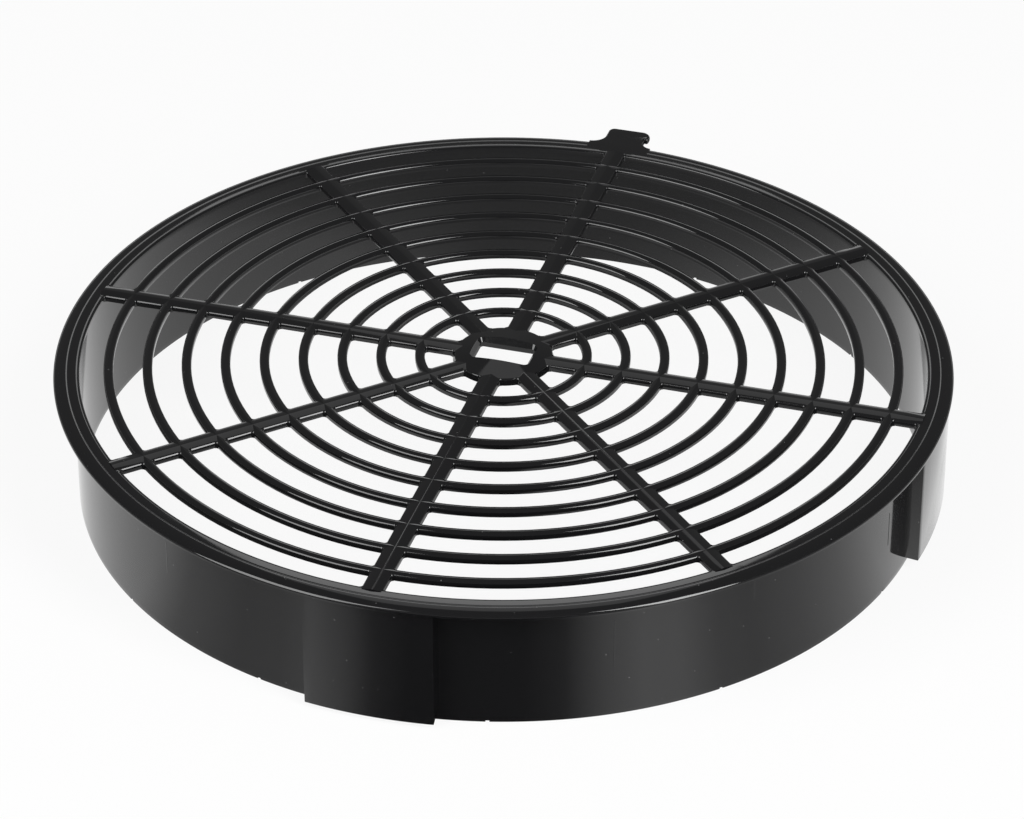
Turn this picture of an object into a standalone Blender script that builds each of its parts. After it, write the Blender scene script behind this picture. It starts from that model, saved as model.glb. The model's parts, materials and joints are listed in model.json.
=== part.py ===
"""Fan cover for an evaporator, moulded in one piece of black plastic.

A round grille of rings and spokes closes the top of a short skirt. A crowned
flange runs round the top edge, four cored pads stand proud of the skirt under
it, a tongue sticks out of the flange at the back, and the hub has a slot.

Metres, +Z up. The tongue points along +Y. The origin is on the surface that
the bottom edge of the skirt stands on, at the centre of the cover's outline
with the tongue, so the axis of the round parts lies a little towards -Y of it.
"""
import math

import bmesh
import bpy
from mathutils import Matrix

# Overall sizes.
SKIRT_RADIUS = 0.1145       # outer face of the skirt
HEIGHT = 0.0366             # bottom edge of the skirt to the crest of the bars
SKIRT_WALL = 0.0014

# Flange round the top.
FLANGE_MARGIN = 0.0007      # its edge stands out this far past the pads
FLANGE_DROP = 0.00036       # its top lies this far under the crest of the bars
FLANGE_THICK = 0.0019
FLANGE_CROWN = 0.0032       # width of the rounded fall to the outer edge
FLANGE_EDGE = 0.0012        # depth of that fall
FLANGE_CORNER = 0.0004      # radius of its lower outer corner
LIP_WIDTH = 0.0004          # how far it reaches in past the skirt's inner face
LIP_CORNER = 0.0005         # radius of its inner top corner

# Bars of the grille: a ring and a spoke have tops of one height and form.
BAR_DEPTH = 0.00206         # crest to underside
BAR_EAVE = 0.00062          # crest to the top of the upright side
BAR_SHOULDER = 0.00026      # crest to the shoulder between slope and side
SHOULDER_SHARE = 0.78       # where the shoulder lies in the half width

# Rings.
RING_COUNT = 9
RING_WIDTH = 0.00256
HUB_GAP = 0.00752           # hub's foot to the smallest ring
EDGE_GAP = 0.0064           # largest ring to the flange's lip
RING_SAG = 0.00015          # how far a facet may cut inside a true circle

# Spokes.
SPOKE_COUNT = 8
SPOKE_WIDTH = 0.0055
SPOKE_REACH = 0.0012        # how far a spoke runs out over the flange's lip

# Hub with its slot.
HUB_RADIUS = 0.0135         # at its underside, which is level with the bars' own
HUB_TOP_RADIUS = 0.0121
HUB_RISE = 0.0010           # its top above the crest of the bars
HUB_EDGE = 0.0009           # radius of its upper edge
SLOT_LENGTH = 0.0150        # at the foot of the slot
SLOT_WIDTH = 0.0089
SLOT_CORNER = 0.0008
SLOT_LEAD = 0.0015          # width of the slope round its top
SLOT_LEAD_DEPTH = 0.0016    # how far that slope goes down

# Pads on the skirt, under every second spoke, hollow and open at the bottom.
PAD_COUNT = 4
PAD_WIDTH = 0.0338
PAD_PROUD = 0.0044
PAD_WALL = 0.0014
PAD_LIFT_SIDE = 0.0034      # bottom edge above the skirt's, on the X axis
PAD_LIFT_END = 0.0014       # the same on the Y axis

# Tongue at the back.
TONGUE_LEFT = 0.0054        # its left side from the Y axis
TONGUE_NECK = 0.0061        # its right side at the neck
TONGUE_BARB = 0.0010        # how far its head stands out past the neck
TONGUE_LENGTH = 0.0084      # flange's edge to its end
TONGUE_HEAD = 0.0042        # its end to the barb
TONGUE_EDGE = 0.0007        # radius of its edges, all round
TONGUE_LEFT_CORNER = 0.0018
TONGUE_RIGHT_CORNER = 0.0026
TONGUE_BARB_TIP = 0.0001    # radius of the barb's corner beyond that of the edges
TONGUE_LEFT_FILLET = 0.0040     # where it runs into the flange
TONGUE_RIGHT_FILLET = 0.0030

# Facets.
ROUND_STEPS = 96
HUB_STEPS = 32
PAD_STEPS = 4
OVERLAP = 0.0005            # joined shapes run this far into each other
MERGE = 0.00001
SHARP_ANGLE = math.radians(30)

# Places that follow from the sizes.
FLANGE_RADIUS = SKIRT_RADIUS + PAD_PROUD + FLANGE_MARGIN
SKIRT_INSIDE = SKIRT_RADIUS - SKIRT_WALL
LIP_RADIUS = SKIRT_INSIDE - LIP_WIDTH
CREST = HEIGHT
BAR_BOTTOM = CREST - BAR_DEPTH
FLANGE_TOP = CREST - FLANGE_DROP
FLANGE_BOTTOM = FLANGE_TOP - FLANGE_THICK
FIRST_RING_RADIUS = HUB_RADIUS + HUB_GAP
LAST_RING_RADIUS = LIP_RADIUS - EDGE_GAP - RING_WIDTH
RING_PITCH = (LAST_RING_RADIUS - FIRST_RING_RADIUS) / (RING_COUNT - 1)

PLASTIC_COLOUR = (0.006, 0.006, 0.0065, 1.0)
PLASTIC_ROUGHNESS = 0.22


def clear_scene():
    for item in list(bpy.data.objects):
        bpy.data.objects.remove(item, do_unlink=True)


def new_collection(name):
    group = bpy.data.collections.new(name)
    bpy.context.scene.collection.children.link(group)
    return group


def plastic():
    material = bpy.data.materials.new("black plastic")
    material.use_nodes = True
    shader = material.node_tree.nodes["Principled BSDF"]
    shader.inputs["Base Color"].default_value = PLASTIC_COLOUR
    shader.inputs["Roughness"].default_value = PLASTIC_ROUGHNESS
    shader.inputs["Metallic"].default_value = 0.0
    material.diffuse_color = PLASTIC_COLOUR
    return material


def arc(centre, radii, start, end, steps):
    """Points on an arc, ends included; angles in degrees, radii one for each axis."""
    points = []
    for i in range(steps + 1):
        angle = math.radians(start + (end - start) * i / steps)
        points.append((centre[0] + radii[0] * math.cos(angle),
                       centre[1] + radii[1] * math.sin(angle)))
    return points


def as_guide(item, group):
    """A shape that is only joined to the cover, or cut out of it."""
    item.hide_render = True
    item.display_type = "WIRE"
    group.objects.link(item)
    item.parent = bpy.data.objects["cover_axis"]


def turned(name, outline, steps):
    """A closed outline of (radius, height) points, turned about the Z axis."""
    mesh = bpy.data.meshes.new(name)
    count = len(outline)
    mesh.from_pydata([(radius, 0.0, height) for radius, height in outline],
                     [(i, (i + 1) % count) for i in range(count)], [])
    item = bpy.data.objects.new(name, mesh)
    screw = item.modifiers.new("turn", "SCREW")
    screw.axis = "Z"
    screw.angle = math.tau
    screw.steps = steps
    screw.render_steps = steps
    screw.use_merge_vertices = True
    screw.merge_threshold = MERGE
    return item


def extruded(name, outline, low, high):
    """A flat outline of (x, y) points as a slab between two heights."""
    curve = bpy.data.curves.new(name, "CURVE")
    curve.dimensions = "2D"
    curve.fill_mode = "BOTH"
    curve.extrude = (high - low) / 2
    spline = curve.splines.new("POLY")
    spline.points.add(len(outline) - 1)
    for point, (x, y) in zip(spline.points, outline):
        point.co = (x, y, 0.0, 1.0)
    spline.use_cyclic_u = True
    drawn = bpy.data.objects.new(name, curve)
    bpy.context.scene.collection.objects.link(drawn)
    bpy.context.view_layer.update()
    solid = drawn.evaluated_get(bpy.context.evaluated_depsgraph_get())
    mesh = bpy.data.meshes.new_from_object(solid)
    mesh.name = name
    bpy.data.objects.remove(drawn, do_unlink=True)
    bpy.data.curves.remove(curve)
    weld(mesh)
    for vertex in mesh.vertices:
        vertex.co.z += (low + high) / 2
    return bpy.data.objects.new(name, mesh)


def lofted(name, levels):
    """A closed shape through outlines of (x, y) points, given as (height, outline) pairs."""
    count = len(levels[0][1])
    points = [(x, y, height) for height, outline in levels for x, y in outline]
    faces = [range(count), range(len(points) - count, len(points))]
    for level in range(len(levels) - 1):
        for i in range(count):
            here = level * count + i
            there = level * count + (i + 1) % count
            faces.append((here, there, there + count, here + count))
    mesh = bpy.data.meshes.new(name)
    mesh.from_pydata(points, [], faces)
    weld(mesh)
    return bpy.data.objects.new(name, mesh)


def weld(mesh):
    shape = bmesh.new()
    shape.from_mesh(mesh)
    bmesh.ops.remove_doubles(shape, verts=shape.verts, dist=MERGE)
    bmesh.ops.recalc_face_normals(shape, faces=shape.faces)
    shape.to_mesh(mesh)
    shape.free()


def bar_section(width):
    """Section of a bar, across and up, clockwise from its lower left corner."""
    half = width / 2
    shoulder = half * SHOULDER_SHARE
    return [(-half, BAR_BOTTOM),
            (-half, CREST - BAR_EAVE),
            (-shoulder, CREST - BAR_SHOULDER),
            (0.0, CREST),
            (shoulder, CREST - BAR_SHOULDER),
            (half, CREST - BAR_EAVE),
            (half, BAR_BOTTOM)]


def flange_and_skirt():
    """The flange's crowned section and the skirt's thin wall, turned as one."""
    crown = arc((FLANGE_RADIUS - FLANGE_CROWN, FLANGE_TOP - FLANGE_EDGE),
                (FLANGE_CROWN, FLANGE_EDGE), 90, 0, 4)
    corner = arc((FLANGE_RADIUS - FLANGE_CORNER, FLANGE_BOTTOM + FLANGE_CORNER),
                 (FLANGE_CORNER, FLANGE_CORNER), 0, -90, 2)
    lip = arc((LIP_RADIUS + LIP_CORNER, FLANGE_TOP - LIP_CORNER),
              (LIP_CORNER, LIP_CORNER), 180, 90, 2)
    outline = lip + crown + corner
    outline += [(SKIRT_RADIUS, FLANGE_BOTTOM),
                (SKIRT_RADIUS, 0.0),
                (SKIRT_INSIDE, 0.0),
                (SKIRT_INSIDE, BAR_BOTTOM),
                (LIP_RADIUS, BAR_BOTTOM)]
    return turned("fan_cover", outline, ROUND_STEPS)


def rings(group):
    """Concentric bars; a larger one gets more facets, in step with the spokes."""
    for i in range(RING_COUNT):
        inner = FIRST_RING_RADIUS + i * RING_PITCH
        middle = inner + RING_WIDTH / 2
        outline = [(middle + across, up) for across, up in bar_section(RING_WIDTH)]
        facets = math.pi / math.acos(1 - RING_SAG / middle)
        steps = SPOKE_COUNT * math.ceil(facets / SPOKE_COUNT)
        as_guide(turned(f"ring_{i + 1}", outline, steps), group)


def spokes(group):
    """Straight bars from inside the hub out over the flange's lip."""
    start = SLOT_LENGTH / 2 + OVERLAP
    end = LIP_RADIUS + SPOKE_REACH
    along_x = Matrix(((0, 0, 1, 0), (1, 0, 0, 0), (0, 1, 0, 0), (0, 0, 0, 1)))
    for i in range(SPOKE_COUNT):
        spoke = extruded(f"spoke_{i + 1}", bar_section(SPOKE_WIDTH), start, end)
        spoke.data.transform(along_x)
        spoke.rotation_euler.z = math.tau * i / SPOKE_COUNT
        as_guide(spoke, group)


def hub(group):
    """A thick disc whose side leans in to a rounded upper edge."""
    top = CREST + HUB_RISE
    lean = math.atan2(HUB_RADIUS - HUB_TOP_RADIUS, top - BAR_BOTTOM)
    setback = HUB_EDGE * math.tan((math.pi / 2 - lean) / 2)
    outline = arc((HUB_TOP_RADIUS - setback, top - HUB_EDGE), (HUB_EDGE, HUB_EDGE),
                  90, math.degrees(lean), 2)
    outline += [(HUB_RADIUS, BAR_BOTTOM), (0.0, BAR_BOTTOM), (0.0, top)]
    as_guide(turned("hub", outline, HUB_STEPS), group)


def sector(name, inner, outer, half_angle, low, high):
    """A block between two radii, centred on the X axis, with radial ends."""
    span = math.degrees(half_angle)
    outline = arc((0, 0), (outer, outer), -span, span, PAD_STEPS)
    outline += arc((0, 0), (inner, inner), span, -span, PAD_STEPS)
    return extruded(name, outline, low, high)


def pads(group):
    """Four pads, each cored from below first, so that the skirt closes its inner side."""
    outer = SKIRT_RADIUS + PAD_PROUD
    half_angle = math.asin(PAD_WIDTH / 2 / outer)
    core_outer = outer - PAD_WALL
    core_half = half_angle - PAD_WALL / outer
    for i in range(PAD_COUNT):
        lift = PAD_LIFT_END if i % 2 else PAD_LIFT_SIDE
        turn = math.tau * i / PAD_COUNT
        pad = sector(f"pad_{i + 1}", SKIRT_RADIUS - OVERLAP, outer, half_angle,
                     lift, FLANGE_BOTTOM + OVERLAP)
        core = sector(f"pad_core_{i + 1}", SKIRT_RADIUS - 2 * OVERLAP, core_outer, core_half,
                      lift - OVERLAP, FLANGE_BOTTOM - PAD_WALL)
        pad.rotation_euler.z = turn
        core.rotation_euler.z = turn
        cores = new_collection(core.name)
        as_guide(core, cores)
        as_guide(pad, group)
        combine(pad, cores, "DIFFERENCE")


def tongue_outline(inset):
    """Seen from above, from the left fillet over the head to the right fillet."""
    edge = FLANGE_RADIUS - inset
    end = FLANGE_RADIUS + TONGUE_LENGTH - inset
    left = inset - TONGUE_LEFT
    neck = TONGUE_NECK - inset
    head = TONGUE_NECK + TONGUE_BARB - inset
    barb_y = FLANGE_RADIUS + TONGUE_LENGTH - TONGUE_HEAD + inset

    def fillet_centre(side, radius):
        x = side + math.copysign(radius, side)
        return x, math.sqrt((edge + radius) ** 2 - x ** 2)

    radius = TONGUE_LEFT_FILLET + inset
    centre = fillet_centre(left, radius)
    lean = math.degrees(math.atan2(-centre[0], centre[1]))
    outline = arc(centre, (radius, radius), -90 + lean, 0, 4)
    radius = TONGUE_LEFT_CORNER - inset
    outline += arc((left + radius, end - radius), (radius, radius), 180, 90, 3)
    radius = TONGUE_RIGHT_CORNER - inset
    outline += arc((head - radius, end - radius), (radius, radius), 90, 0, 4)
    radius = TONGUE_EDGE + TONGUE_BARB_TIP - inset
    outline += arc((head - radius, barb_y + radius), (radius, radius), 0, -90, 2)
    outline.append((neck, barb_y))
    radius = TONGUE_RIGHT_FILLET + inset
    centre = fillet_centre(neck, radius)
    lean = math.degrees(math.atan2(centre[0], centre[1]))
    outline += arc(centre, (radius, radius), 180, 270 - lean, 3)
    root = FLANGE_RADIUS - FLANGE_CROWN
    return outline + [(outline[-1][0], root), (outline[0][0], root)]


def tongue(group):
    """Flat tongue on the flange, with round edges and a small barb on the right of its head."""
    levels = []
    for across, up in arc((0, 0), (TONGUE_EDGE, TONGUE_EDGE), -90, 0, 2):
        levels.append((FLANGE_BOTTOM + TONGUE_EDGE + up, tongue_outline(TONGUE_EDGE - across)))
    for across, up in arc((0, 0), (TONGUE_EDGE, TONGUE_EDGE), 0, 90, 2):
        levels.append((FLANGE_TOP - TONGUE_EDGE + up, tongue_outline(TONGUE_EDGE - across)))
    as_guide(lofted("tongue", levels), group)


def round_rectangle(length, width, corner):
    half_x = length / 2 - corner
    half_y = width / 2 - corner
    outline = []
    for quarter, (x, y) in enumerate(((1, 1), (-1, 1), (-1, -1), (1, -1))):
        outline += arc((x * half_x, y * half_y), (corner, corner), 90 * quarter, 90 * (quarter + 1), 2)
    return outline


def slot(group):
    """Hole with round corners through the hub, and a slope round its top."""
    top = CREST + HUB_RISE
    foot = round_rectangle(SLOT_LENGTH, SLOT_WIDTH, SLOT_CORNER)
    out = SLOT_LEAD * (1 + OVERLAP / SLOT_LEAD_DEPTH)
    mouth = round_rectangle(SLOT_LENGTH + 2 * out, SLOT_WIDTH + 2 * out, SLOT_CORNER + out)
    levels = [(BAR_BOTTOM - OVERLAP, foot), (top - SLOT_LEAD_DEPTH, foot), (top + OVERLAP, mouth)]
    as_guide(lofted("slot", levels), group)


def combine(item, group, operation):
    step = item.modifiers.new(operation.lower(), "BOOLEAN")
    step.operation = operation
    step.operand_type = "COLLECTION"
    step.collection = group
    step.solver = "EXACT"


def settle(item):
    """Keep the joined shape as the item's own mesh, smooth except at its edges."""
    bpy.context.view_layer.update()
    solid = item.evaluated_get(bpy.context.evaluated_depsgraph_get())
    mesh = bpy.data.meshes.new_from_object(solid)
    weld(mesh)
    mesh.shade_smooth()
    mesh.set_sharp_from_angle(angle=SHARP_ANGLE)
    item.modifiers.clear()
    item.data = mesh


def build():
    clear_scene()
    part = new_collection("fan cover")
    joined = new_collection("joined shapes")
    cut = new_collection("cut shapes")

    axis = bpy.data.objects.new("cover_axis", None)
    axis.location.y = -TONGUE_LENGTH / 2
    part.objects.link(axis)
    cover = flange_and_skirt()
    cover.parent = axis
    part.objects.link(cover)
    rings(joined)
    spokes(joined)
    hub(joined)
    pads(joined)
    tongue(joined)
    slot(cut)
    combine(cover, joined, "UNION")
    combine(cover, cut, "DIFFERENCE")
    settle(cover)
    cover.data.materials.clear()
    cover.data.materials.append(plastic())


build()
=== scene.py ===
"""Evaporator fan cover, moulded in one piece of gloss black plastic.

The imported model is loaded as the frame. The same form is then made again with
fine round work and chamfered bars, feature by feature, and joined into the one
moulding that is shown. All sizes are in metres, +Z up, the tongue along +Y.
"""

import json
import math

import bmesh
import bpy
from mathutils import Matrix, Vector

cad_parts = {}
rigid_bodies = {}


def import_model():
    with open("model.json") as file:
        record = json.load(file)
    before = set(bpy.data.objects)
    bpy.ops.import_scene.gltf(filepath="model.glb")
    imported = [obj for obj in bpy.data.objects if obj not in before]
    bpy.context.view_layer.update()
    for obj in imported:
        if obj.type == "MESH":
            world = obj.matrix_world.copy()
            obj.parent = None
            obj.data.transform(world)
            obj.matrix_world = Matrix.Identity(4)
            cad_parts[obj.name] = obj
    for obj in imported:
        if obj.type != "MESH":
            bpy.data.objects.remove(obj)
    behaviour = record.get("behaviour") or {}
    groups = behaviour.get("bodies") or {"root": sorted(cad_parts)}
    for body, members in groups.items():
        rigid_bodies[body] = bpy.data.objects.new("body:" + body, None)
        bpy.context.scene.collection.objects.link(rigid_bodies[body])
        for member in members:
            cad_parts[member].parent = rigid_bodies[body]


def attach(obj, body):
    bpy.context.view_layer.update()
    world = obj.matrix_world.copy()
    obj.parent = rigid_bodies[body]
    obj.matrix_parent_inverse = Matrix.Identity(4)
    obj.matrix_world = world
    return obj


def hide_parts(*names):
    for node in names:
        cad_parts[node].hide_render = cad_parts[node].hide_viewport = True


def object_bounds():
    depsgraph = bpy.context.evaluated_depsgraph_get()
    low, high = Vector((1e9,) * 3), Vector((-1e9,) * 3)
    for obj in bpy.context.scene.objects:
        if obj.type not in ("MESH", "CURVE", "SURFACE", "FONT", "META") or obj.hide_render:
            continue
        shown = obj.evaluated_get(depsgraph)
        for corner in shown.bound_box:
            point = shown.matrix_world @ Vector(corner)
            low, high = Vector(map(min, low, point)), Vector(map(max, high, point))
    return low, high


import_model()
packed_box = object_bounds()


# Skirt and flange.
# The skirt is the short tube that stands round the fan. The flange is its top
# edge, turned out flat to sit on the panel, with a faint groove where it starts to
# fall to a soft outer edge. Both are one moulded section, turned about the axis.
HUB_RISE = 0.0010
CREST = packed_box[1].z - HUB_RISE
AXIS_Y = -0.0042
SKIRT_RADIUS = 0.1145
SKIRT_WALL = 0.0014
SKIRT_EDGE = 0.0002
FLANGE_RADIUS = 0.1196
FLANGE_TOP = CREST - 0.00036
FLANGE_BOTTOM = FLANGE_TOP - 0.0019
FLANGE_CROWN = (0.0032, 0.0012)
FLANGE_EDGE = 0.0004
FLANGE_ROOT = 0.0003
GROOVE = (0.1159, 0.00032, 0.00005)
GROOVE_SHAPE = ((-1.4, 0), (-1, 0.05), (-0.5, 0.6), (0, 1), (0.5, 0.6), (1, 0.05))
LIP = (0.0010, 0.0005)
LIP_RADIUS = SKIRT_RADIUS - SKIRT_WALL - 0.0004
BAR_BOTTOM = CREST - 0.00206

# Heights of extra loops on the skirt, which keep its shading even from top to bottom.
SKIRT_LOOPS = (0.0290, 0.0182, 0.0100, 0.0016)

moulding = bpy.data.collections.new("moulding")
bpy.context.scene.collection.children.link(moulding)
features = bpy.data.collections.new("features to join")
bpy.context.scene.collection.children.link(features)


def arc(centre, radii, start, end, steps):
    """Points on an arc, ends included; angles in degrees, radii one for each axis."""
    points = []
    for i in range(steps + 1):
        angle = math.radians(start + (end - start) * i / steps)
        points.append((centre[0] + radii[0] * math.cos(angle),
                       centre[1] + radii[1] * math.sin(angle)))
    return points


def placed(name, shape, collection):
    """An object from a bmesh, on the cover's axis, with a finish slot of its own."""
    bmesh.ops.recalc_face_normals(shape, faces=shape.faces)
    mesh = bpy.data.meshes.new(name)
    shape.to_mesh(mesh)
    shape.free()
    mesh.transform(Matrix.Translation((0.0, AXIS_Y, 0.0)))
    mesh.materials.append(bpy.data.materials.new(name))
    item = bpy.data.objects.new(name, mesh)
    collection.objects.link(item)
    return item


def turned(name, outline, steps, collection):
    """A closed outline of (radius, height) points, turned about the axis."""
    shape = bmesh.new()
    loops = []
    for k in range(steps):
        angle = math.tau * k / steps
        loops.append([shape.verts.new((r * math.cos(angle), r * math.sin(angle), z))
                      for r, z in outline])
    for k in range(steps):
        here, there = loops[k], loops[(k + 1) % steps]
        for i in range(len(outline)):
            j = (i + 1) % len(outline)
            shape.faces.new((here[i], there[i], there[j], here[j]))
    return placed(name, shape, collection)


outline = arc((LIP_RADIUS + LIP[0], FLANGE_TOP - LIP[1]), LIP, 180, 90, 8)
outline += [(GROOVE[0] + across * GROOVE[1], FLANGE_TOP - deep * GROOVE[2])
            for across, deep in GROOVE_SHAPE]
outline += arc((FLANGE_RADIUS - FLANGE_CROWN[0], FLANGE_TOP - FLANGE_CROWN[1]), FLANGE_CROWN,
               90, 0, 18)
outline += arc((FLANGE_RADIUS - FLANGE_EDGE, FLANGE_BOTTOM + FLANGE_EDGE), (FLANGE_EDGE,) * 2,
               0, -90, 5)
outline += arc((SKIRT_RADIUS + FLANGE_ROOT, FLANGE_BOTTOM - FLANGE_ROOT), (FLANGE_ROOT,) * 2,
               90, 180, 4)
outline += [(SKIRT_RADIUS, z) for z in SKIRT_LOOPS]
outline += arc((SKIRT_RADIUS - SKIRT_EDGE, SKIRT_EDGE), (SKIRT_EDGE,) * 2, 0, -90, 3)
outline += arc((SKIRT_RADIUS - SKIRT_WALL + SKIRT_EDGE, SKIRT_EDGE), (SKIRT_EDGE,) * 2,
               -90, -180, 3)
outline += [(SKIRT_RADIUS - SKIRT_WALL, z) for z in (SKIRT_LOOPS[-1], BAR_BOTTOM)]
outline.append((LIP_RADIUS, BAR_BOTTOM))
cover = turned("skirt_and_flange", outline, 288, moulding)


# Pads.
# Four bosses stand proud of the skirt under the flange and steady the cover in
# its hole. They are cored out from below, so each is a thin wall round a pocket.
PAD_WIDTH = 0.0338
PAD_PROUD = 0.0044
PAD_LIFTS = (0.0034, 0.0014)
PAD_EDGE = 0.00022

# How far a feature reaches into what it joins, and how far a cut goes past its end.
LAP = 0.0005
PAST = 0.001


def lofted(name, levels, collection):
    """A closed shape through outlines of (x, y) points, given as (height, outline) pairs."""
    shape = bmesh.new()
    loops = [[shape.verts.new((x, y, z)) for x, y in outline] for z, outline in levels]
    for here, there in zip(loops, loops[1:]):
        for i in range(len(here)):
            j = (i + 1) % len(here)
            shape.faces.new((here[i], here[j], there[j], there[i]))
    shape.faces.new(reversed(loops[0]))
    shape.faces.new(loops[-1])
    return placed(name, shape, collection)


def settle(item):
    """Applies the modifiers."""
    bpy.context.view_layer.update()
    solid = item.evaluated_get(bpy.context.evaluated_depsgraph_get())
    mesh = bpy.data.meshes.new_from_object(solid)
    item.modifiers.clear()
    item.data = mesh


def cut(item, tool):
    """Takes the tool's shape out of the item, and the tool away."""
    step = item.modifiers.new("cut", "BOOLEAN")
    step.operation = "DIFFERENCE"
    step.solver = "MANIFOLD"
    step.object = tool
    settle(item)
    bpy.data.objects.remove(tool, do_unlink=True)


def soften(item, width):
    """Rounds the item's crisp edges."""
    step = item.modifiers.new("soften", "BEVEL")
    step.width = width
    step.segments = 2
    step.limit_method = "ANGLE"
    step.angle_limit = math.radians(40)
    settle(item)


face = SKIRT_RADIUS + PAD_PROUD
span = math.degrees(math.asin(PAD_WIDTH / 2 / face))
wall = math.degrees(SKIRT_WALL / face)
for i in range(4):
    lift = PAD_LIFTS[i % 2]
    middle = 90 * i
    outline = arc((0, 0), (face, face), middle - span, middle + span, 16)
    outline += arc((0, 0), (SKIRT_RADIUS - LAP,) * 2, middle + span, middle - span, 16)
    pad = lofted(f"pad_{i + 1}", [(lift, outline), (FLANGE_BOTTOM + LAP, outline)], features)
    near, far = middle - span + wall, middle + span - wall
    outline = arc((0, 0), (face - SKIRT_WALL,) * 2, near, far, 16)
    outline += arc((0, 0), (SKIRT_RADIUS - PAST,) * 2, far, near, 16)
    cut(pad, lofted("pocket", [(lift - PAST, outline), (FLANGE_BOTTOM - SKIRT_WALL, outline)],
                    features))
    soften(pad, PAD_EDGE)


# Rings.
# Nine concentric bars of the grille. Each has a low gabled top with a crisp
# crest and softly chamfered eaves, and upright sides down to a flat underside.
RING_COUNT = 9
RING_WIDTH = 0.00256
RING_FIRST = 0.02102
RING_LAST = LIP_RADIUS - 0.0064 - RING_WIDTH
SHOULDER = CREST - 0.00026
EAVE = CREST - 0.00064
EAVE_WIDTH = 0.00032
EAVE_CROWN = 0.35
BAR_FOOT = 0.0002

# How far the middle of a facet may lie inside the true circle.
FACET = 0.00002


def bend(start, corner, end, steps):
    """Points on a smooth bend between two points, which heads for the corner first."""
    points = []
    for i in range(steps + 1):
        t = i / steps
        points.append(tuple((1 - t) ** 2 * a + 2 * t * (1 - t) * b + t * t * c
                            for a, b, c in zip(start, corner, end)))
    return points


def eave(depth):
    """The crowned chamfer at a bar's eave, as (depth into the bar, height) points."""
    crown = ((0.5 - EAVE_CROWN / 2) * depth, EAVE + (0.5 + EAVE_CROWN / 2) * (SHOULDER - EAVE))
    return bend((0.0, EAVE), crown, (depth, SHOULDER), 4)


def bar_section(width):
    """Section of a bar as (across, up) points, from the lower left corner over the top."""
    half = width / 2
    left = arc((-half + BAR_FOOT, BAR_BOTTOM + BAR_FOOT), (BAR_FOOT,) * 2, 270, 180, 2)
    left += [(deep - half, z) for deep, z in eave(EAVE_WIDTH)]
    return left + [(0.0, CREST)] + [(-x, z) for x, z in reversed(left)]


ring_edges = []
for i in range(RING_COUNT):
    inner = RING_FIRST + i * (RING_LAST - RING_FIRST) / (RING_COUNT - 1)
    middle = inner + RING_WIDTH / 2
    ring_edges += [(inner, "inside"), (inner + RING_WIDTH, "outside")]
    steps = 8 * math.ceil(math.pi / math.acos(1 - FACET / middle) / 8)
    turned(f"ring_{i + 1}", [(middle + x, z) for x, z in bar_section(RING_WIDTH)], steps, features)


# Spokes.
# Eight straight bars from the hub out over the flange's lip. Their tops are as
# high as the rings' tops, so the gables meet in mitres where bars cross.
SPOKE_COUNT = 8
SPOKE_WIDTH = 0.0055
SPOKE_START = 0.0100
SPOKE_END = LIP_RADIUS + 0.0012

for k in range(SPOKE_COUNT):
    shape = bmesh.new()
    base = shape.faces.new([shape.verts.new((SPOKE_START, y, z))
                            for y, z in bar_section(SPOKE_WIDTH)])
    end = bmesh.ops.extrude_face_region(shape, geom=[base])["geom"]
    tip = [v for v in end if isinstance(v, bmesh.types.BMVert)]
    bmesh.ops.translate(shape, verts=tip, vec=(SPOKE_END - SPOKE_START, 0.0, 0.0))
    turn = Matrix.Rotation(math.tau * k / SPOKE_COUNT, 3, "Z")
    bmesh.ops.rotate(shape, verts=shape.verts, matrix=turn)
    placed(f"spoke_{k + 1}", shape, features)


# Hub.
# The thick disc in the middle. Its top is a low cone that falls from the slot to
# an eave level with the bars, so the spokes run into it in mitres. A slot for a
# flat clip goes through it, with a slope all round its top that leads the clip in.
HUB_RADIUS = 0.0135
HUB_EAVE = (0.0130, CREST - 0.0003)
HUB_TOP = CREST + HUB_RISE
HUB_EDGE = 0.0003
HUB_CORE = 0.003
SLOT = (0.0150, 0.0089)
SLOT_CORNER = 0.0008
SLOT_LEAD = (0.0012, 0.0017)
CONE_START = SLOT[1] / 2 + SLOT_LEAD[0]

# Radii of extra loops on the cone, and how far from a bend the points lie that
# keep the flats beside it flat.
HUB_LOOPS = (0.0075, 0.0090, 0.0105, 0.0118)
BESIDE = 0.00008

lean = math.atan2(HUB_RADIUS - HUB_EAVE[0], HUB_EAVE[1] - BAR_BOTTOM)
fall = math.atan2(HUB_TOP - HUB_EAVE[1], HUB_EAVE[0] - CONE_START)
outline = [(HUB_CORE, BAR_BOTTOM), (HUB_CORE, HUB_TOP), (CONE_START, HUB_TOP)]
edge = bend((HUB_EAVE[0] - HUB_EDGE * math.cos(fall), HUB_EAVE[1] + HUB_EDGE * math.sin(fall)),
            HUB_EAVE,
            (HUB_EAVE[0] + HUB_EDGE * math.sin(lean), HUB_EAVE[1] - HUB_EDGE * math.cos(lean)), 6)
for r in HUB_LOOPS + (edge[0][0] - BESIDE,):
    outline.append((r, HUB_TOP - (r - CONE_START) * math.tan(fall)))
outline += edge
outline.append((edge[-1][0] + BESIDE * math.sin(lean), edge[-1][1] - BESIDE * math.cos(lean)))
outline.append((HUB_RADIUS, BAR_BOTTOM))
hub = turned("hub", outline, 96, features)


def round_rectangle(length, width, corner):
    """Its outline, with a point just past each end of a corner that keeps the flats flat."""
    outline = []
    for quarter, (x, y) in enumerate(((1, 1), (-1, 1), (-1, -1), (1, -1))):
        centre = (x * (length / 2 - corner), y * (width / 2 - corner))
        round_part = arc(centre, (corner, corner), 90 * quarter, 90 * (quarter + 1), 8)
        (ax, ay), (bx, by) = round_part[0], round_part[-1]
        turn = math.radians(90 * quarter)
        along = (BESIDE * math.cos(turn), BESIDE * math.sin(turn))
        outline += [(ax + along[1], ay - along[0])] + round_part + [(bx - along[0], by - along[1])]
    return outline


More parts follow.
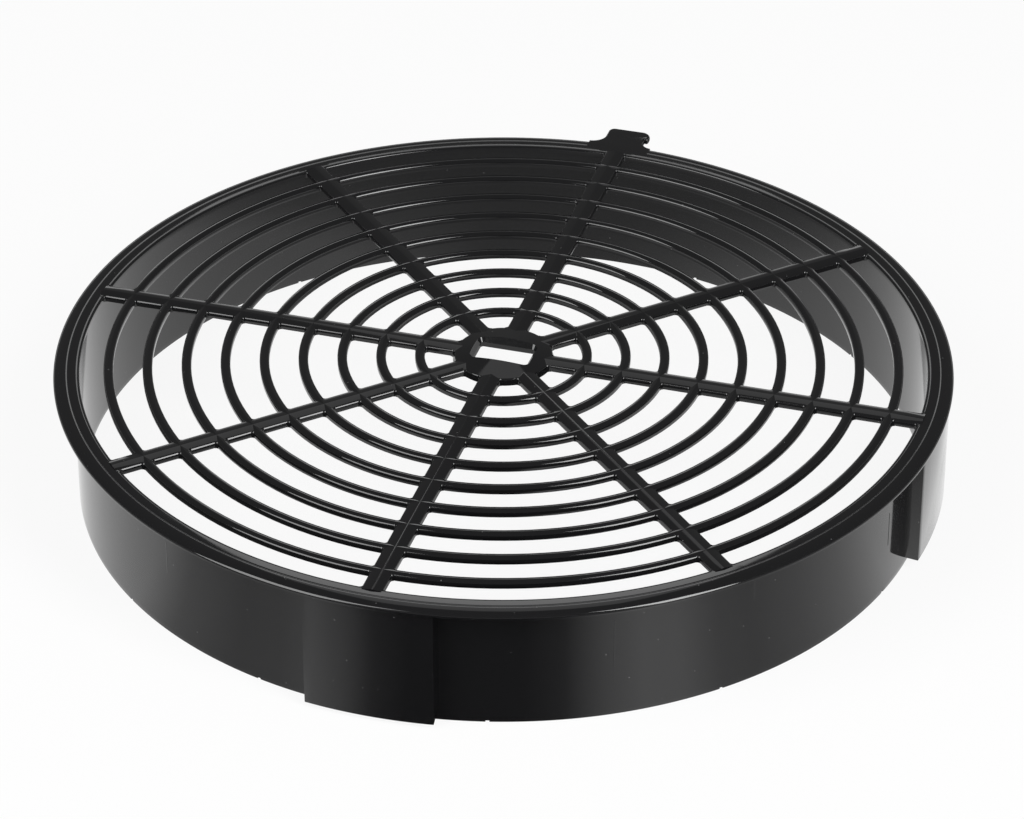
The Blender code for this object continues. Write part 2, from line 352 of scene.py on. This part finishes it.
foot = round_rectangle(*SLOT, SLOT_CORNER)
flare = SLOT_LEAD[0] * (1 + PAST / SLOT_LEAD[1])
mouth = round_rectangle(SLOT[0] + 2 * flare, SLOT[1] + 2 * flare, SLOT_CORNER + flare)
cut(hub, lofted("slot", [(BAR_BOTTOM - PAST, foot), (HUB_TOP - SLOT_LEAD[1], foot),
                         (HUB_TOP + PAST, mouth)], features))


# Corner fillets.
# The mould is cut with a round tool, so no cell of the grille has a square
# corner. A small fillet runs up each corner between a spoke and what it meets.
CORNER = 0.0006
HUB_CORNER = 0.0009
CORNER_STEPS = 5

# The sides that fillets join, as (depth into the bar, height) points from the foot up.
BAR_EDGE = [(0.0, BAR_BOTTOM)] + eave(EAVE_WIDTH)
LIP_EDGE = [(0.0, BAR_BOTTOM)] + bend((0.0, FLANGE_TOP - LIP[1]), (0.0, FLANGE_TOP),
                                      (LIP[0], FLANGE_TOP), 4)
HUB_EDGES = [((z - BAR_BOTTOM) * math.tan(lean), z) for deep, z in BAR_EDGE]


def fillet(shape, spoke, side, radius, cell, round_edge, corner):
    """One fillet between a spoke's side and a round edge, the cell outside or inside it."""
    reach = radius + corner if cell == "outside" else radius - corner
    up = SPOKE_WIDTH / 2 + corner
    along = math.sqrt(reach * reach - up * up)
    bearing = math.atan2(up, along)
    last = bearing - math.pi if cell == "outside" else bearing
    turn = Matrix.Rotation(spoke, 3, "Z")
    loops = []
    for i in range(CORNER_STEPS + 1):
        t = i / CORNER_STEPS
        angle = -math.pi / 2 + (last + math.pi / 2) * t
        edge = [(a + (b - a) * t, low + (high - low) * t)
                for (a, low), (b, high) in zip(BAR_EDGE, round_edge)]
        edge.append((edge[-1][0], BAR_BOTTOM))
        loop = []
        for deep, z in edge:
            x = along + (corner + deep) * math.cos(angle)
            y = up + (corner + deep) * math.sin(angle)
            loop.append(shape.verts.new(turn @ Vector((x, side * y, z))))
        loops.append(loop)
    count = len(loops[0])
    for here, there in zip(loops, loops[1:]):
        for i in range(count):
            j = (i + 1) % count
            shape.faces.new((here[i], here[j], there[j], there[i]))
    shape.faces.new(loops[0])
    shape.faces.new(reversed(loops[-1]))


corners = [(HUB_RADIUS, "outside", HUB_EDGES, HUB_CORNER), (LIP_RADIUS, "inside", LIP_EDGE, CORNER)]
corners += [(radius, cell, BAR_EDGE, CORNER) for radius, cell in ring_edges]
for k in range(SPOKE_COUNT):
    for side in (1, -1):
        shape = bmesh.new()
        for radius, cell, edge, corner in corners:
            fillet(shape, math.tau * k / SPOKE_COUNT, side, radius, cell, edge, corner)
        placed(f"fillets_{k + 1}_{'left' if side > 0 else 'right'}", shape, features)


# Tongue.
# A flat tongue at the back of the flange that goes under a clip. One side of
# its head has a small barb, and it runs into the flange with a fillet each side.
TONGUE_LEFT = -0.0054
TONGUE_NECK = 0.0061
TONGUE_HEAD = 0.0071
TONGUE_END = FLANGE_RADIUS + 0.0084
TONGUE_ROOT = FLANGE_RADIUS - 0.0042
TONGUE_CORNERS = (0.0018, 0.0026)
TONGUE_FILLETS = (0.0040, 0.0030)
BARB_Y = TONGUE_END - 0.0042
BARB_EDGE = 0.0008
TONGUE_EDGE = 0.0007


def root_fillet(side, edge, radius):
    """Centre of the fillet between the tongue's side and the round edge, and its lean."""
    x = side + math.copysign(radius, side)
    y = math.sqrt((edge + radius) ** 2 - x * x)
    return (x, y), math.degrees(math.atan2(abs(x), y))


def tongue_outline(inset):
    """The tongue seen from above, drawn in by the inset."""
    left, neck, head = TONGUE_LEFT + inset, TONGUE_NECK - inset, TONGUE_HEAD - inset
    end, barb, edge = TONGUE_END - inset, BARB_Y + inset, FLANGE_RADIUS - inset
    radius = TONGUE_FILLETS[0] + inset
    centre, lean = root_fillet(left, edge, radius)
    outline = arc(centre, (radius,) * 2, -90 + lean, 0, 12)
    radius = TONGUE_CORNERS[0] - inset
    outline += arc((left + radius, end - radius), (radius,) * 2, 180, 90, 10)
    radius = TONGUE_CORNERS[1] - inset
    outline += arc((head - radius, end - radius), (radius,) * 2, 90, 0, 12)
    radius = BARB_EDGE - inset
    outline += arc((head - radius, barb + radius), (radius,) * 2, 0, -90, 6)
    outline.append((neck, barb))
    radius = TONGUE_FILLETS[1] + inset
    centre, lean = root_fillet(neck, edge, radius)
    outline += arc(centre, (radius,) * 2, 180, 270 - lean, 10)
    return outline + [(outline[-1][0], TONGUE_ROOT), (outline[0][0], TONGUE_ROOT)]


levels = [(FLANGE_BOTTOM + TONGUE_EDGE + up, tongue_outline(TONGUE_EDGE - across))
          for across, up in arc((0, 0), (TONGUE_EDGE,) * 2, -90, 0, 6)]
levels += [(FLANGE_TOP - TONGUE_EDGE + up, tongue_outline(TONGUE_EDGE - across))
           for across, up in arc((0, 0), (TONGUE_EDGE,) * 2, 0, 90, 6)]
lofted("tongue", levels, features)


# Marks of the mould.
# Twelve gates fed the skirt from below, and each left a small nick in its
# bottom edge. Where streams of plastic met, a faint upright line stands on the
# skirt's face, a few hundredths of a millimetre proud.
NICK = (0.0010, 0.0005)
NICK_CUT = 0.003
NICK_FIRST = -106
NICK_STEP = 30.5
LINE = (0.00018, 0.00004)
LINE_ROOT = 0.0003
LINE_LEAN = 0.6
LINES = ((-121.5, 0.0185, 0.0281), (-59.7, 0.0104, 0.0286), (-40.5, 0.0238, 0.0300),
         (-13.6, 0.0138, 0.0238))
CAMERA_BEARING = -73.5

nicks = bmesh.new()
for k in range(12):
    block = bmesh.ops.create_cube(nicks, size=1.0)["verts"]
    bmesh.ops.scale(nicks, verts=block, vec=(NICK_CUT, NICK[0], 2 * NICK[1]))
    bmesh.ops.translate(nicks, verts=block, vec=(SKIRT_RADIUS - SKIRT_WALL / 2, 0.0, 0.0))
    turn = Matrix.Rotation(math.radians(NICK_FIRST + NICK_STEP * k), 3, "Z")
    bmesh.ops.rotate(nicks, verts=block, matrix=turn)
cut(cover, placed("nicks", nicks, features))

# A line's ridge leans to the camera's side, so its steep side faces the camera.
for number, (angle, low, high) in enumerate(LINES):
    half = math.degrees(LINE[0] / SKIRT_RADIUS)
    side = -1 if angle > CAMERA_BEARING else 1
    points = [(SKIRT_RADIUS - LINE_ROOT, half), (SKIRT_RADIUS, half),
              (SKIRT_RADIUS + LINE[1], LINE_LEAN * side * half), (SKIRT_RADIUS, -half),
              (SKIRT_RADIUS - LINE_ROOT, -half)]
    outline = [(r * math.cos(math.radians(angle + a)), r * math.sin(math.radians(angle + a)))
               for r, a in points]
    lofted(f"line_{number + 1}", [(low, outline), (high, outline)], features)


# The moulding in one piece.
# All features are joined into one skin. Edges stay crisp where two features
# meet, such as the mitres of the grille, and smooth everywhere else.
WELD = 0.000002
CRACK = 0.00001
LEVEL = 0.000001
SHARP = math.radians(32)

join = cover.modifiers.new("join", "BOOLEAN")
join.operation = "UNION"
join.operand_type = "COLLECTION"
join.collection = features
join.solver = "MANIFOLD"
join.material_mode = "TRANSFER"
settle(cover)

shape = bmesh.new()
shape.from_mesh(cover.data)
bmesh.ops.remove_doubles(shape, verts=shape.verts, dist=WELD)

# The weld leaves a few slivers where fillets run out, so they go and their gaps close.
for attempt in range(4):
    wires = [edge for edge in shape.edges if not edge.link_faces]
    bmesh.ops.delete(shape, geom=wires, context="EDGES")
    slivers = [item for item in shape.faces if all(edge.is_boundary for edge in item.edges)]
    bmesh.ops.delete(shape, geom=slivers, context="FACES")
    ends = [vert for vert in shape.verts if vert.is_boundary]
    bmesh.ops.remove_doubles(shape, verts=ends, dist=CRACK)
    hems = [edge for edge in shape.edges if edge.is_boundary]
    bmesh.ops.holes_fill(shape, edges=hems, sides=0)
bmesh.ops.recalc_face_normals(shape, faces=shape.faces)
bmesh.ops.triangulate(shape, faces=shape.faces)
for item in shape.faces:
    item.smooth = True
for edge in shape.edges:
    two = edge.link_faces
    apart = len(two) == 2 and two[0].material_index != two[1].material_index
    crest = all(abs(end.co.z - CREST) < LEVEL for end in edge.verts)
    edge.smooth = not (apart or crest or edge.calc_face_angle(0.0) > SHARP)
for item in shape.faces:
    item.material_index = 0
shape.to_mesh(cover.data)
shape.free()
for item in list(features.objects):
    bpy.data.objects.remove(item, do_unlink=True)
cover.name = "fan_cover_moulding"


# Plastic.
# Gloss black, a little cloudy in its gloss as mouldings are. Specks of dust, a
# third of a millimetre across, lie sparse over the whole cover.
BLACK = (0.006, 0.006, 0.0065, 1.0)
DUST = (0.10, 0.10, 0.10, 1.0)
PLASTIC_IOR = 1.59
CLOUD_SCALE = 60.0
CLOUD_DETAIL = 4.0
ROUGHNESS = (0.035, 0.085)
SPECK_CELLS = 230.0
SPECK_SHARE = 0.040

plastic = bpy.data.materials.new("gloss black moulded plastic")
plastic.use_nodes = True
nodes, links = plastic.node_tree.nodes, plastic.node_tree.links
shader = nodes["Principled BSDF"]
shader.inputs["IOR"].default_value = PLASTIC_IOR


def math_step(operation, first, second=None):
    """A Math node; an input is a number or another node's output."""
    step = nodes.new("ShaderNodeMath")
    step.operation = operation
    for slot, value in zip(step.inputs, (first, second)):
        if isinstance(value, (int, float)):
            slot.default_value = value
        elif value is not None:
            links.new(value, slot)
    return step.outputs["Value"]


def eased(value, low, high, start, end):
    """A Map Range node from one span of values to another."""
    step = nodes.new("ShaderNodeMapRange")
    for name, number in (("From Min", low), ("From Max", high), ("To Min", start), ("To Max", end)):
        step.inputs[name].default_value = number
    links.new(value, step.inputs["Value"])
    return step.outputs["Result"]


place = nodes.new("ShaderNodeTexCoord")
cloud = nodes.new("ShaderNodeTexNoise")
cloud.inputs["Scale"].default_value = CLOUD_SCALE
cloud.inputs["Detail"].default_value = CLOUD_DETAIL
links.new(place.outputs["Object"], cloud.inputs["Vector"])
links.new(eased(cloud.outputs["Fac"], 0.3, 0.7, *ROUGHNESS), shader.inputs["Roughness"])

speck = nodes.new("ShaderNodeTexVoronoi")
speck.inputs["Scale"].default_value = SPECK_CELLS
links.new(place.outputs["Object"], speck.inputs["Vector"])
dusty = nodes.new("ShaderNodeMix")
dusty.data_type = "RGBA"
black_socket, dust_socket = (item for item in dusty.inputs if item.type == "RGBA")
black_socket.default_value = BLACK
dust_socket.default_value = DUST
links.new(math_step("LESS_THAN", speck.outputs["Distance"], SPECK_SHARE), dusty.inputs["Factor"])
links.new(next(item for item in dusty.outputs if item.type == "RGBA"), shader.inputs["Base Color"])
cover.data.materials.clear()
cover.data.materials.append(plastic)

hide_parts("fan_cover")
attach(cover, "root")


# Table.
# A plain white table top under the cover, which runs out of sight on all sides.
# Its mirror image in the gloss of the plastic is painted darker in front, a painted
# shade as if a camera and its stand shaded it there, and is painted darker where it
# lies in the cover's own shade and far off.
TABLE_REACH = 6.0
TABLE_WHITE = (0.86, 0.86, 0.86, 1.0)
TABLE_GLOW = 0.90
# Painted shade on the table, seen only in the gloss: bearings are taken from its centre, and it is
# painted darker towards the middle of the cover's ring and far off.
SHADE_CENTRE = (0.017, AXIS_Y - 0.057)
SHADE_IN_RING = (0.02, 0.112, 0.55, 1.0)
SHADE_FAR_OFF = (0.16, 0.20, 1.0, 0.16)

# How light the table is in the gloss, by the bearing in degrees from a point before
# the hub. The stops were written after tones read from the photo.
# A tone below one is painted shade in the table's mirror image.
SHADES = ((-180, 1.0), (-161, 0.95), (-152, 0.55), (-138, 0.42), (-129, 0.50), (-120, 0.72),
          (-112, 0.45), (-105, 0.12), (-97, 0.03), (-68, 0.04), (-58, 0.15), (-47, 0.70),
          (-38, 1.0), (-29, 0.95), (-20, 0.58), (-12, 0.48), (0, 0.58), (11, 0.75), (20, 1.0),
          (76, 1.0), (84, 0.95), (91, 0.60), (98, 0.42), (108, 0.42), (115, 0.62), (121, 0.95),
          (128, 1.0), (180, 1.0))

shape = bmesh.new()
bmesh.ops.create_grid(shape, x_segments=1, y_segments=1, size=TABLE_REACH)
mesh = bpy.data.meshes.new("table")
shape.to_mesh(mesh)
shape.free()
table = bpy.data.objects.new("table", mesh)
bpy.context.scene.collection.objects.link(table)
white = bpy.data.materials.new("white table top")
white.use_nodes = True
nodes, links = white.node_tree.nodes, white.node_tree.links
shader = nodes["Principled BSDF"]
shader.inputs["Base Color"].default_value = TABLE_WHITE
shader.inputs["Roughness"].default_value = 0.6
shader.inputs["Specular IOR Level"].default_value = 0.2


def shows_background(path):
    """One for the rays of the camera and those by way of gloss or glass, else nought."""
    seen = math_step("MAXIMUM", path.outputs["Is Camera Ray"], path.outputs["Is Glossy Ray"])
    return math_step("MAXIMUM", seen, path.outputs["Is Transmission Ray"])


def glowing(strength):
    """An Emission node."""
    node = nodes.new("ShaderNodeEmission")
    node.inputs["Strength"].default_value = strength
    return node.outputs["Emission"]


def mixed(share, first, second):
    """A Mix Shader node; a share of one is all of the second."""
    node = nodes.new("ShaderNodeMixShader")
    links.new(share, node.inputs["Fac"])
    links.new(first, node.inputs[1])
    links.new(second, node.inputs[2])
    return node.outputs["Shader"]


place = nodes.new("ShaderNodeTexCoord")
parts = nodes.new("ShaderNodeSeparateXYZ")
links.new(place.outputs["Object"], parts.inputs["Vector"])
bearing = math_step("ARCTAN2", math_step("SUBTRACT", parts.outputs["Y"], SHADE_CENTRE[1]),
                    math_step("SUBTRACT", parts.outputs["X"], SHADE_CENTRE[0]))
shade = nodes.new("ShaderNodeValToRGB")
ramp = shade.color_ramp.elements
while len(ramp) < len(SHADES):
    ramp.new(0.5)
for stop, (degrees, tone) in zip(ramp, SHADES):
    stop.position = (degrees + 180) / 360
    stop.color = (tone, tone, tone, 1.0)
links.new(eased(bearing, -math.pi, math.pi, 0.0, 1.0), shade.inputs["Fac"])
from_axis = math_step("SUBTRACT", parts.outputs["Y"], AXIS_Y)
span = math_step("SQRT", math_step("ADD", math_step("POWER", parts.outputs["X"], 2.0),
                                   math_step("POWER", from_axis, 2.0)))
tone = math_step("MULTIPLY", shade.outputs["Color"],
                 math_step("MULTIPLY", eased(span, *SHADE_IN_RING), eased(span, *SHADE_FAR_OFF)))

path = nodes.new("ShaderNodeLightPath")
plain = mixed(math_step("MULTIPLY", shows_background(path), TABLE_GLOW),
              shader.outputs["BSDF"], glowing(1.0))
# Rays by way of gloss see the table painted darker by this tone: painted shade.
darkened = math_step("MULTIPLY", path.outputs["Is Glossy Ray"], math_step("SUBTRACT", 1.0, tone))
links.new(mixed(darkened, plain, glowing(0.0)), nodes["Material Output"].inputs["Surface"])
mesh.materials.append(white)


# Light.
# Two tall soft boxes stand at the front corners, and two narrow ones behind.
# The surround is white up to just above the horizon, as the table is, and the
# room overhead is a dim grey. The gloss of the plastic mirrors both.
LAMP_DISTANCE = 1.6
ROOM = 0.13
WHITE_UP_TO = (0.05, 0.16)


def direction(azimuth, elevation):
    """The way to a bearing and a height, both in degrees."""
    a, e = math.radians(azimuth), math.radians(elevation)
    return Vector((math.cos(a) * math.cos(e), math.sin(a) * math.cos(e), math.sin(e)))


def aimed(name, data, centre, away, distance):
    """An object that looks at the centre from a distance, linked to the scene."""
    item = bpy.data.objects.new(name, data)
    item.location = centre + away * distance
    item.rotation_mode = "QUATERNION"
    item.rotation_quaternion = away.to_track_quat("Z", "Y")
    bpy.context.scene.collection.objects.link(item)
    return item


def soft_box(name, azimuth, elevation, width, height, radiance):
    """An area lamp that faces the cover; width and height as seen, in degrees."""
    lamp = bpy.data.lights.new(name, "AREA")
    lamp.shape = "RECTANGLE"
    lamp.size = 2 * LAMP_DISTANCE * math.tan(math.radians(width / 2))
    lamp.size_y = 2 * LAMP_DISTANCE * math.tan(math.radians(height / 2))
    lamp.energy = radiance * math.pi * lamp.size * lamp.size_y
    aimed(name, lamp, Vector((0.0, 0.0, 0.0)), direction(azimuth, elevation), LAMP_DISTANCE)


soft_box("left soft box", -131, 37, 34, 44, 4.6)
soft_box("right soft box", -29, 36, 20, 48, 9.0)
soft_box("low back soft box", 107, 36, 12, 11, 1.4)
soft_box("high back soft box", 107, 52, 14, 20, 0.42)

world = bpy.data.worlds.new("grey room")
bpy.context.scene.world = world
world.use_nodes = True
nodes, links = world.node_tree.nodes, world.node_tree.links
back = nodes["Background"]
back.inputs["Color"].default_value = (1.0, 1.0, 1.0, 1.0)
place = nodes.new("ShaderNodeTexCoord")
parts = nodes.new("ShaderNodeSeparateXYZ")
links.new(place.outputs["Generated"], parts.inputs["Vector"])
path = nodes.new("ShaderNodeLightPath")
low = eased(parts.outputs["Z"], *WHITE_UP_TO, 1.0, 0.0)
white_part = math_step("MULTIPLY", shows_background(path), low)
links.new(eased(white_part, 0.0, 1.0, ROOM, 1.0), back.inputs["Strength"])


# Camera.
# Above and in front, looking down 32 degrees on the grille through a long lens.
# The target stands at its own pixel of the photo's frame.
TARGET = Vector((0.0, AXIS_Y, CREST))
TARGET_PIXEL = (503.49, 352.10)
PHOTO_FRAME = (1024, 819)
CAMERA_ELEVATION = 32.048
CAMERA_DISTANCE = 1.118

lens = bpy.data.cameras.new("camera")
lens.sensor_width = 36.0
lens.lens = 147.5
lens.shift_x = (PHOTO_FRAME[0] / 2 - TARGET_PIXEL[0]) / PHOTO_FRAME[0]
lens.shift_y = (TARGET_PIXEL[1] - PHOTO_FRAME[1] / 2) / PHOTO_FRAME[0]
lens.clip_start, lens.clip_end = 0.05, 30.0
bpy.context.scene.camera = aimed("camera", lens, TARGET,
                                 direction(CAMERA_BEARING, CAMERA_ELEVATION), CAMERA_DISTANCE)
bpy.context.scene.view_settings.view_transform = "Standard"
